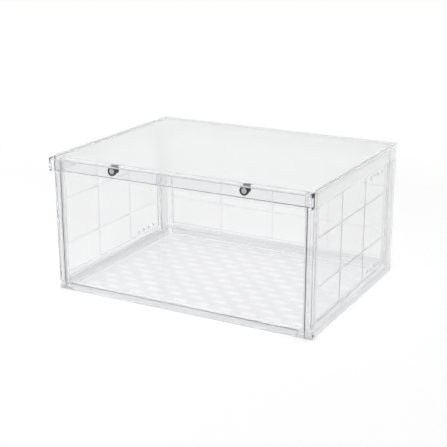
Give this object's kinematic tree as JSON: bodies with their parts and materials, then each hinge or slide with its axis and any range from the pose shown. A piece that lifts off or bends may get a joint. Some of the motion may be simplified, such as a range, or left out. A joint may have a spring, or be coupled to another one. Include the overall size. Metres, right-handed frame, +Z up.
{
  "type": "shoe storage box",
  "caption": "Clear stackable storage box with flat ribbed walls, a drop-front door hinged along its bottom edge, a full-width pull bar and magnetic catches.",
  "frame": {"origin": "on the standing face, under the middle of the whole box with its pull bar", "axes": "+X along the width towards the right side as seen from the front, +Y towards the back, +Z up"},
  "size_m": [0.36, 0.282, 0.182],
  "materials": {
    "clear_wall": "clear moulded, slightly hazy",
    "clear_top": "clear moulded, frosted",
    "clear_door": "crystal clear, polished",
    "bright_steel": "bright nickel plate",
    "black_plastic": "satin moulded"
  },
  "bodies": {
    "box": {"base_panel": "clear_wall", "top_panel": "clear_top", "left_side_panel": "clear_wall", "right_side_panel": "clear_wall", "back_panel": "clear_wall", "left_catch_housing": "black_plastic", "right_catch_housing": "black_plastic", "left_catch_magnet": "bright_steel", "right_catch_magnet": "bright_steel", "left_hinge_pin": "bright_steel", "right_hinge_pin": "bright_steel"},
    "door": {"door_panel": "clear_door", "door_handle": "clear_door", "left_strike_disc": "bright_steel", "right_strike_disc": "bright_steel"}
  },
  "joints": [
    {"name": "door_hinge", "type": "hinge", "parent": "box", "child": "door", "pos_m": [0, -0.1258, 0.0058], "axis": [1, 0, 0], "range_deg": [0, 86]}
  ]
}
